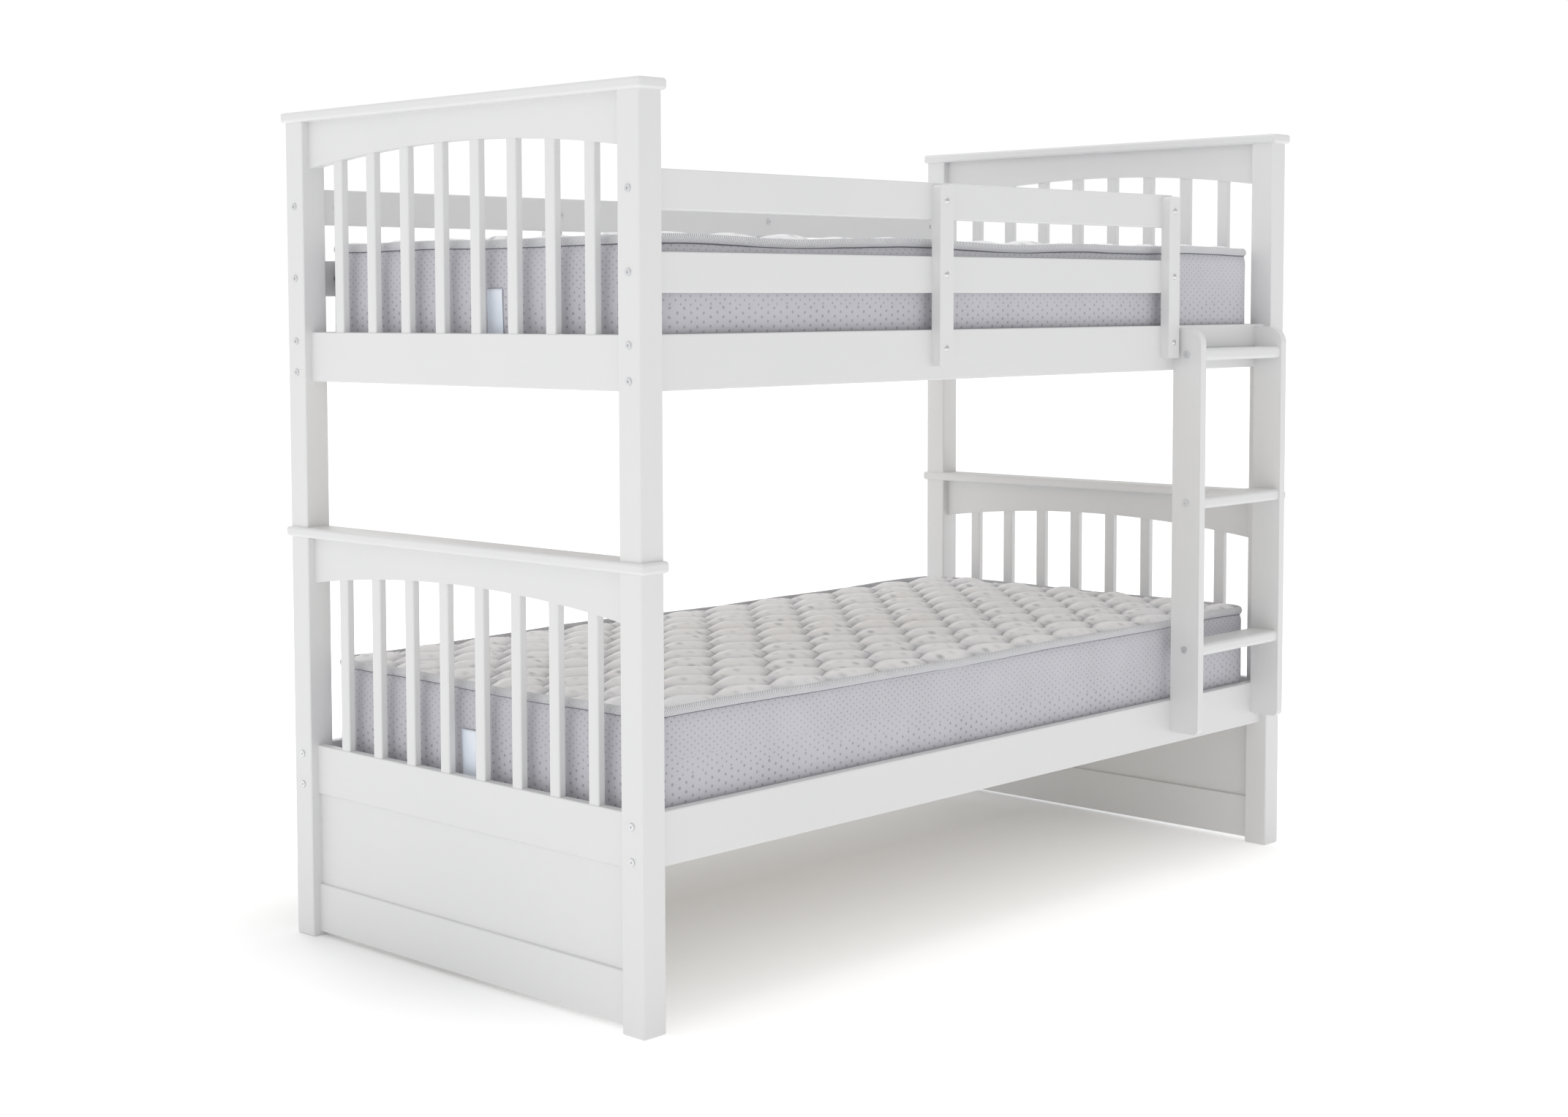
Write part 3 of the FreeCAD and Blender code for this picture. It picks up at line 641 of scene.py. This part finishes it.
def makeTape(name, low, high, bottom, look):
    # a belt with a rounded section that binds the border to a panel
    middle = ((low.x + high.x) / 2, (low.y + high.y) / 2)
    inset = mattress["tapeInset"]
    tall = mattress["tapeHeight"]
    corner = mattress["corner"] - mattress["tapeTighter"]
    lowest = Vector((low.x + inset, low.y + inset, bottom))
    highest = Vector((high.x - inset, high.y - inset, bottom + tall))
    half = ((highest.x - lowest.x) / 2, (highest.y - lowest.y) / 2)
    bm = roundedBox(lowest, highest, corner, 0.0)
    bm.normal_update()
    lids = [f for f in bm.faces if abs(f.normal.z) > 0.9]
    bmesh.ops.delete(bm, geom=lids, context="FACES")
    for longer in (1.2, 0.3):        # the two long sides, then the two ends
        level = [e for e in bm.edges
                 if abs(e.verts[0].co.z - e.verts[1].co.z) < 1e-6 and e.calc_length() > longer]
        if level:
            cuts = int(level[0].calc_length() / mattress["tapeStep"])
            bmesh.ops.subdivide_edges(bm, edges=level, cuts=cuts, use_grid_fill=True)
    upright = [e for e in bm.edges if abs(e.verts[0].co.z - e.verts[1].co.z) > 1e-4]
    bmesh.ops.subdivide_edges(bm, edges=upright, cuts=5, use_grid_fill=True)
    bmesh.ops.recalc_face_normals(bm, faces=bm.faces)
    bmesh.ops.solidify(bm, geom=list(bm.faces), thickness=mattress["tapeSolid"])
    bmesh.ops.recalc_face_normals(bm, faces=bm.faces)
    piece = makePiece(bm, name, look)
    points = readPoints(piece.data)
    x, y, z = points.T
    length = roundTheRim(x, y, middle, half, corner)[0]
    up = (z - bottom) / tall
    belly = 4 * up * (1 - up)
    outer = fromEdge(x, y, middle, half, corner) < mattress["tapeSolid"] / 2
    out = awayFrom(x, y, middle, half, corner)
    puffed = np.where(outer, mattress["tapeThick"] * (belly - mattress["tapeFlat"]), 0.0)
    slow = wander(np.stack([length * 3.1, 0 * x, 0 * x + bottom * 3], 1), 1.0, 2.0)
    quickly = wander(np.stack([length * 14.0, 0 * x, 0 * x], 1), 1.0, 6.0)
    z = z + mattress["tapeWave"] * slow + mattress["tapeFlutter"] * quickly
    points = np.stack([x + out[:, 0] * puffed, y + out[:, 1] * puffed, z], 1)
    wrapLayout(piece.data, middle, half, bottom, tape["pitch"])
    writePoints(piece.data, points)
    piece.data.polygons.foreach_set("use_smooth", np.ones(len(piece.data.polygons), bool))
    finer = piece.modifiers.new("finer", "SUBSURF")
    finer.levels = finer.render_levels = 1
    return piece


# fabrics

borderPrint = {
    "ground": (0.585, 0.582, 0.622, 1.0),
    "dot": (0.32, 0.32, 0.36, 1.0),
    "repeat": 0.288,                 # every dot spacing round the rim divides this
    "zones": (                       # lowest height, spacing round the rim and upwards, radius
        (0.112, 0.018, 0.0064, 0.0016),
        (0.080, 0.024, 0.0072, 0.0020),
        (-0.100, 0.032, 0.0080, 0.0027),
    ),
    "blur": 0.0006,                  # softness of a dot's edge
    "drift": 0.0014,                 # how far the cloth's own stretch moves a dot
    "threads": 700.0,
}
tape = {
    "pitch": 0.0046,
    "cord": (0.92, 0.92, 0.94, 1.0),
    # painted shade in the grooves between the cord's twists
    "gap": (0.46, 0.46, 0.49, 1.0),
    "plain": (0.64, 0.64, 0.67, 1.0),
    "paintedShadowLine": (0.09, 0.09, 0.11, 1.0),
    "plainHeight": 0.0080,           # the twisted cord starts above this
    "paintedShadowHeight": 0.0024,          # painted shadow: a dark line at the tape's lower edge, where the tape stands out over the border
    "lean": 0.9,
}
quiltCloth = {
    "ground": (0.91, 0.91, 0.935, 1.0),
    "warm": (0.91, 0.90, 0.90, 1.0),
    "blotch": (0.46, 0.47, 0.48, 1.0),
    # painted shade in the creases beside the seams
    "fold": (0.48, 0.48, 0.52, 1.0),
    "line": (0.0008, 0.0026),        # the dark line at a seam, in metres from its middle: the quilting thread, with painted shade in its groove
    "shade": 0.022,                  # painted shade on the cloth this far from a seam
    "dots": (0.036, 0.030, 0.0070, 0.004),    # spacing along and across, radius, softness
    "shoulder": (0.010, 0.0022),     # the creased edge of a puff: how wide and how high
    "creaseScale": 70.0,
    "crease": (0.024, 0.0016, 0.0003),    # reach of the creases, their height at a seam and away
    "threads": 450.0,
    "threadHeight": 0.0003,
}
label = {"colour": (0.86, 0.90, 0.97, 1.0), "shade": (0.80, 0.86, 0.95, 1.0), "threads": 1500.0}


def staggeredDots(tree, u, v, across, rise, size, blur):
    # one where a dot is, nought elsewhere
    turns = calc(tree, "DIVIDE", v, rise)
    shift = calc(tree, "MULTIPLY", calc(tree, "MODULO", calc(tree, "FLOOR", turns), 2.0), 0.5)
    column = calc(tree, "FRACT", calc(tree, "ADD", calc(tree, "DIVIDE", u, across), shift))
    dx = calc(tree, "MULTIPLY", calc(tree, "SUBTRACT", column, 0.5), across)
    dy = calc(tree, "MULTIPLY", calc(tree, "SUBTRACT", calc(tree, "FRACT", turns), 0.5), rise)
    away = calc(tree, "SQRT", calc(tree, "MULTIPLY_ADD", dx, dx, calc(tree, "MULTIPLY", dy, dy)))
    return remap(tree, away, size - blur, size + blur, 1.0, 0.0)


def makeBorderCloth():
    material, tree, shader = newMaterial("borderCloth", Sheen_Weight=0.15)
    shader.inputs["Specular IOR Level"].default_value = 0.25
    layout = addNode(tree, "ShaderNodeUVMap", uv_map="wrap").outputs[0]
    parts = addNode(tree, "ShaderNodeSeparateXYZ", {0: layout})
    stretch = addNode(tree, "ShaderNodeTexNoise", {"Vector": layout, "Scale": 26.0, "Detail": 1.0})
    moved = addNode(tree, "ShaderNodeSeparateColor", {0: stretch.outputs[1]}).outputs
    drift = borderPrint["drift"]
    u = calc(tree, "ADD", parts.outputs[0], remap(tree, moved[0], 0.3, 0.7, -drift, drift))
    v = calc(tree, "ADD", parts.outputs[1], remap(tree, moved[1], 0.3, 0.7, -drift, drift))
    mask = 0.0
    ceiling = 1.0
    for lowest, across, rise, size in borderPrint["zones"]:
        dots = staggeredDots(tree, u, v, across, rise, size, borderPrint["blur"])
        inZone = calc(tree, "MULTIPLY", calc(tree, "GREATER_THAN", v, lowest),
                      calc(tree, "LESS_THAN", v, ceiling))
        mask = calc(tree, "MULTIPLY_ADD", dots, inZone, mask)
        ceiling = lowest
    tone = useGroup(tree, slowTone, {"Vector": layout, "Scale": 9.0}).outputs[0]
    weave = useGroup(tree, clothWeave, {"Vector": layout, "Threads": borderPrint["threads"]})
    strength = calc(tree, "MULTIPLY", mask, remap(tree, tone, 0.0, 1.0, 0.55, 0.95))
    ground = borderPrint["ground"]
    darker = tuple(c * 0.93 for c in ground[:3]) + (1.0,)
    cloth = mixColour(tree, tone, ground, darker)
    tree.links.new(mixColour(tree, strength, cloth, borderPrint["dot"]), shader.inputs["Base Color"])
    tree.links.new(remap(tree, weave.outputs[0], 0.2, 0.8, 0.72, 0.88), shader.inputs["Roughness"])
    bumpInto(tree, shader, weave.outputs[0], 0.0003, 0.5)
    return material


def makeQuiltCloth():
    material, tree, shader = newMaterial("quiltCloth", Sheen_Weight=0.2)
    shader.inputs["Specular IOR Level"].default_value = 0.3
    layout = addNode(tree, "ShaderNodeUVMap", uv_map="wrap").outputs[0]
    parts = addNode(tree, "ShaderNodeSeparateXYZ", {0: layout})
    seam = useGroup(tree, quiltSeams, {"Vector": layout}).outputs[0]
    dots = staggeredDots(tree, parts.outputs[0], parts.outputs[1], *quiltCloth["dots"])
    patch = useGroup(tree, slowTone, {"Vector": layout, "Scale": 14.0}).outputs[0]
    blotch = calc(tree, "MULTIPLY", dots, remap(tree, patch, 0.35, 0.9, 0.0, 0.8))
    tone = useGroup(tree, slowTone, {"Vector": layout, "Scale": 2.4}).outputs[0]
    cloth = mixColour(tree, tone, quiltCloth["ground"], quiltCloth["warm"])
    cloth = mixColour(tree, blotch, cloth, quiltCloth["blotch"])
    # painted shade: the cloth darkens towards each seam, where the puffs meet
    paintedSeamShade = calc(tree, "POWER", remap(tree, seam, 0.0, quiltCloth["shade"], 1.0, 0.0), 2.0)
    cloth = mixColour(tree, calc(tree, "MULTIPLY", paintedSeamShade, 0.85), cloth, quiltCloth["fold"])
    # the seam's thread, darkened further by painted shade in the groove
    threadAndGrooveShade = remap(tree, seam, *quiltCloth["line"], 0.85, 0.0)
    cloth = mixColour(tree, threadAndGrooveShade, cloth, quiltCloth["blotch"])
    tree.links.new(cloth, shader.inputs["Base Color"])
    weave = useGroup(tree, clothWeave, {"Vector": layout, "Threads": quiltCloth["threads"]})
    crease = addNode(tree, "ShaderNodeTexNoise",
                     {"Vector": layout, "Scale": quiltCloth["creaseScale"], "Detail": 3.0,
                      "Distortion": 1.5})
    reach, atSeam, away = quiltCloth["crease"]
    nearSeam = remap(tree, seam, 0.0, reach, atSeam, away)
    folds = calc(tree, "MULTIPLY", crease.outputs[0], nearSeam)
    wide, high = quiltCloth["shoulder"]
    shoulder = calc(tree, "POWER", remap(tree, seam, 0.0, wide, 0.0, 1.0), 0.5)
    height = calc(tree, "MULTIPLY_ADD", shoulder, high, folds)
    height = calc(tree, "MULTIPLY_ADD", weave.outputs[0], quiltCloth["threadHeight"], height)
    tree.links.new(remap(tree, weave.outputs[0], 0.2, 0.8, 0.62, 0.8), shader.inputs["Roughness"])
    bumpInto(tree, shader, height, 1.0, 0.8)
    return material


def makeTapeCloth():
    material, tree, shader = newMaterial("tapeCloth", Sheen_Weight=0.1)
    layout = addNode(tree, "ShaderNodeUVMap", uv_map="wrap").outputs[0]
    parts = addNode(tree, "ShaderNodeSeparateXYZ", {0: layout})
    leaned = calc(tree, "MULTIPLY_ADD", parts.outputs[1], -tape["lean"], parts.outputs[0])
    wave = calc(tree, "SINE", calc(tree, "MULTIPLY", leaned, math.tau / tape["pitch"]))
    mask = remap(tree, wave, -0.7, 0.5, 0.0, 1.0)
    tone = useGroup(tree, slowTone, {"Vector": layout, "Scale": 30.0}).outputs[0]
    mask = calc(tree, "MULTIPLY", mask, remap(tree, tone, 0.0, 1.0, 0.75, 1.0))
    # the cord's twists are light and the grooves between them carry painted shade
    twist = mixColour(tree, mask, tape["gap"], tape["cord"])
    edge = tape["plainHeight"]
    plain = remap(tree, parts.outputs[1], edge - 0.0008, edge + 0.0008, 1.0, 0.0)
    twist = mixColour(tree, plain, twist, tape["plain"])
    # painted shadow: a dark line along the tape's lower edge
    high = tape["paintedShadowHeight"]
    paintedShadowShare = remap(tree, parts.outputs[1], high - 0.0006, high + 0.0006, 0.9, 0.0)
    tree.links.new(mixColour(tree, paintedShadowShare, twist, tape["paintedShadowLine"]), shader.inputs["Base Color"])
    tree.links.new(remap(tree, mask, 0.0, 1.0, 0.85, 0.5), shader.inputs["Roughness"])
    bumpInto(tree, shader, wave, 0.0006, 0.8)
    return material


def makeLabelCloth():
    material, tree, shader = newMaterial("labelCloth")
    place = addNode(tree, "ShaderNodeTexCoord").outputs["Object"]
    tone = useGroup(tree, slowTone, {"Vector": place, "Scale": 30.0}).outputs[0]
    turned = addNode(tree, "ShaderNodeMapping", {"Vector": place, "Rotation": (0.0, 1.5708, 0.0)})
    weave = useGroup(tree, clothWeave, {"Vector": turned.outputs[0], "Threads": label["threads"]})
    tree.links.new(mixColour(tree, tone, label["colour"], label["shade"]),
                   shader.inputs["Base Color"])
    tree.links.new(remap(tree, weave.outputs[0], 0.2, 0.8, 0.5, 0.65), shader.inputs["Roughness"])
    bumpInto(tree, shader, weave.outputs[0], 0.0001, 0.4)
    return material


tag = {
    "width": 0.042,
    "length": 0.106,
    "thick": 0.0005,
    "lean": 0.0030,                  # the free end stands this far out from the border
    "bow": 0.0006,
    "clear": 0.0035,                 # from the mattress's full size to the tag's foot
    "foot": 0.006,                   # above the underside
}
tagPlaces = {"lower": 0.039, "upper": -0.046}    # middle of each tag across the bed


def makeTag(name, level, low, look):
    bm = bmesh.new()
    bmesh.ops.create_grid(bm, x_segments=8, y_segments=18, size=0.5)
    bmesh.ops.scale(bm, vec=(tag["width"], tag["length"], 1.0), verts=bm.verts)
    bmesh.ops.rotate(bm, cent=(0, 0, 0), matrix=Matrix.Rotation(math.pi / 2, 3, "X"), verts=bm.verts)
    bmesh.ops.rotate(bm, cent=(0, 0, 0), matrix=Matrix.Rotation(-math.pi / 2, 3, "Z"), verts=bm.verts)
    bottom = low.z + tag["foot"]
    bmesh.ops.translate(bm, vec=(low.x - tag["clear"], tagPlaces[level], bottom + tag["length"] / 2),
                        verts=bm.verts)
    for vert in bm.verts:
        up = (vert.co.z - bottom) / tag["length"]
        across = (vert.co.y - tagPlaces[level]) / tag["width"]
        vert.co.x -= tag["lean"] * up + tag["bow"] * up * math.cos(across * 3.0)
    piece = makePiece(bm, name, look)
    cloth = piece.modifiers.new("cloth", "SOLIDIFY")
    cloth.thickness = tag["thick"]
    cloth.offset = 0.0
    for face in piece.data.polygons:
        face.use_smooth = True
    return piece


def makeMattress(level, looks, pattern):
    node = level + "_mattress"
    low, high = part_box(node)
    low, high = Vector(low), Vector(high)
    if pattern is None:
        core = makeCore(level + "_mattress_core", low, high, looks["core"])
    else:
        # the same make of mattress, turned end for end
        core = bpy.data.objects.new(level + "_mattress_core", pattern[0].data.copy())
        scene.collection.objects.link(core)
        centre = (low + high) / 2
        turn = Matrix.Translation(centre) @ Matrix.Rotation(math.pi, 4, "Z")
        core.data.transform(turn @ Matrix.Translation(-pattern[1]))
    topTape = makeTape(level + "_mattress_tape_top", low, high,
                       high.z - mattress["tapeDrop"] - mattress["tapeHeight"], looks["tape"])
    lowTape = makeTape(level + "_mattress_tape_bottom", low, high,
                       low.z + mattress["tapeFoot"], looks["tape"])
    blank = makeTag(level + "_mattress_tag", level, low, looks["label"])
    for piece in (core, topTape, lowTape, blank):
        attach(piece, node)
    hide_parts(node)
    print(level, "mattress made")
    return core, (low + high) / 2


# the studio

studio = {
    "floorReach": 60.0,
    "floorTones": ((0.9, 0.9, 0.9, 1.0), (0.88, 0.88, 0.88, 1.0)),
    "ambient": 0.735,
    "lean": (-0.03, 0.08, 0.03),     # more light from the left, the back and above
    "backdrop": 1.02,
    "paintedGlowInShadow": 0.02,                # painted glow of the floor, faint in the painted shadow under the bed
    "paintedGlowAway": 0.50,                 # painted glow away from the bed, bright where the floor meets the backdrop
    # distance over which the painted shadow fades into the bright painted glow
    "paintedShadowFade": 0.85,
    "paintedShadowMiddle": (0.0, 0.30),        # middle of the painted shadow on the floor
    "paintedShadowHalf": (0.85, 0.15),
    "lamps": {                       # place, what it looks at, watts, size
        "key": ((-4.6, 0.4, 4.0), (-0.4, 0.0, 0.7), 12.0, 3.0),
        "back": ((0.6, 4.6, 2.3), (0.0, 0.0, 0.6), 40.0, 2.6),
        "top": ((0.0, 0.0, 6.5), (0.0, 0.0, 0.0), 60.0, 4.0),
    },
}
cameraFacts = {
    "place": (-3.657, -3.225, 1.232),
    "heading": 44.92,                # degrees from +Y towards +X
    "down": 3.78,
    "roll": -0.291,
    "lens": 53.35,
    "shift": (0.0653, -0.0637),
}


def addCamera():
    eye = bpy.data.objects.new("camera", bpy.data.cameras.new("camera"))
    scene.collection.objects.link(eye)
    turn = Matrix.Rotation(-math.radians(cameraFacts["heading"]), 4, "Z")
    turn = turn @ Matrix.Rotation(math.radians(90.0 - cameraFacts["down"]), 4, "X")
    turn = turn @ Matrix.Rotation(math.radians(cameraFacts["roll"]), 4, "Z")
    eye.matrix_world = Matrix.Translation(cameraFacts["place"]) @ turn
    eye.data.sensor_width = 36.0
    eye.data.sensor_fit = "HORIZONTAL"
    eye.data.lens = cameraFacts["lens"]
    eye.data.shift_x, eye.data.shift_y = cameraFacts["shift"]
    scene.camera = eye


def addLight(name, place, aim, power, size):
    lamp = bpy.data.lights.new(name, "AREA")
    lamp.energy = power
    lamp.size = size
    lamp.shape = "DISK"
    holder = bpy.data.objects.new(name, lamp)
    scene.collection.objects.link(holder)
    holder.location = place
    holder.rotation_euler = (Vector(aim) - Vector(place)).to_track_quat("-Z", "Y").to_euler()
    holder.visible_camera = False


def addFloor():
    bm = bmesh.new()
    bmesh.ops.create_grid(bm, x_segments=1, y_segments=1, size=studio["floorReach"])
    material, tree, shader = newMaterial("paleFloor", Roughness=0.7)
    place = addNode(tree, "ShaderNodeTexCoord").outputs["Object"]
    tone = useGroup(tree, slowTone, {"Vector": place, "Scale": 0.4}).outputs[0]
    tree.links.new(mixColour(tree, tone, *studio["floorTones"]), shader.inputs["Base Color"])
    shader.inputs["Specular IOR Level"].default_value = 0.0
    spot = addNode(tree, "ShaderNodeSeparateXYZ", {0: place})
    # the floor glows like a lamp, faintly under the bed and brightly away from it: a painted glow
    # that paints the bed's shadow on the floor
    beyond = []
    for part, centre, half in zip(spot.outputs, studio["paintedShadowMiddle"], studio["paintedShadowHalf"]):
        off = calc(tree, "ABSOLUTE", calc(tree, "SUBTRACT", part, centre))
        off = calc(tree, "SUBTRACT", off, half)
        beyond.append(calc(tree, "MAXIMUM", off, 0.0))
    far = calc(tree, "SQRT", calc(tree, "ADD", calc(tree, "MULTIPLY", beyond[0], beyond[0]),
                                  calc(tree, "MULTIPLY", beyond[1], beyond[1])))
    share = remap(tree, far, 0.0, studio["paintedShadowFade"], 0.0, 1.0)
    glow = remap(tree, share, 0.0, 1.0, studio["paintedGlowInShadow"], studio["paintedGlowAway"])
    paintedFloorGlow = addNode(tree, "ShaderNodeCombineColor", {0: glow, 1: glow, 2: glow}).outputs[0]
    tree.links.new(paintedFloorGlow, shader.inputs["Emission Color"])
    shader.inputs["Emission Strength"].default_value = 1.0
    floor = makePiece(bm, "floor", material)


def addStudio():
    addFloor()
    world = bpy.data.worlds.new("studio")
    scene.world = world
    world.use_nodes = True
    tree = world.node_tree
    tree.nodes.clear()
    path = addNode(tree, "ShaderNodeLightPath").outputs["Is Camera Ray"]
    aim = addNode(tree, "ShaderNodeTexCoord").outputs["Generated"]
    lean = addNode(tree, "ShaderNodeVectorMath", {0: aim, 1: studio["lean"]}, operation="DOT_PRODUCT")
    soft = calc(tree, "ADD", lean.outputs["Value"], studio["ambient"])
    strength = remap(tree, path, 0.0, 1.0, soft, studio["backdrop"])
    glow = addNode(tree, "ShaderNodeBackground", {0: (1.0, 1.0, 1.0, 1.0), 1: strength})
    addNode(tree, "ShaderNodeOutputWorld", {0: glow.outputs[0]})
    for name, (place, aim, power, size) in studio["lamps"].items():
        addLight(name, place, aim, power, size)
    scene.view_settings.view_transform = "Standard"
    print("studio set")


addCamera()
addStudio()
dressFrame()
looks = {
    "core": [makeQuiltCloth(), makeBorderCloth()],
    "tape": makeTapeCloth(),
    "label": makeLabelCloth(),
}
pattern = makeMattress("lower", looks, None)
makeMattress("upper", looks, pattern)
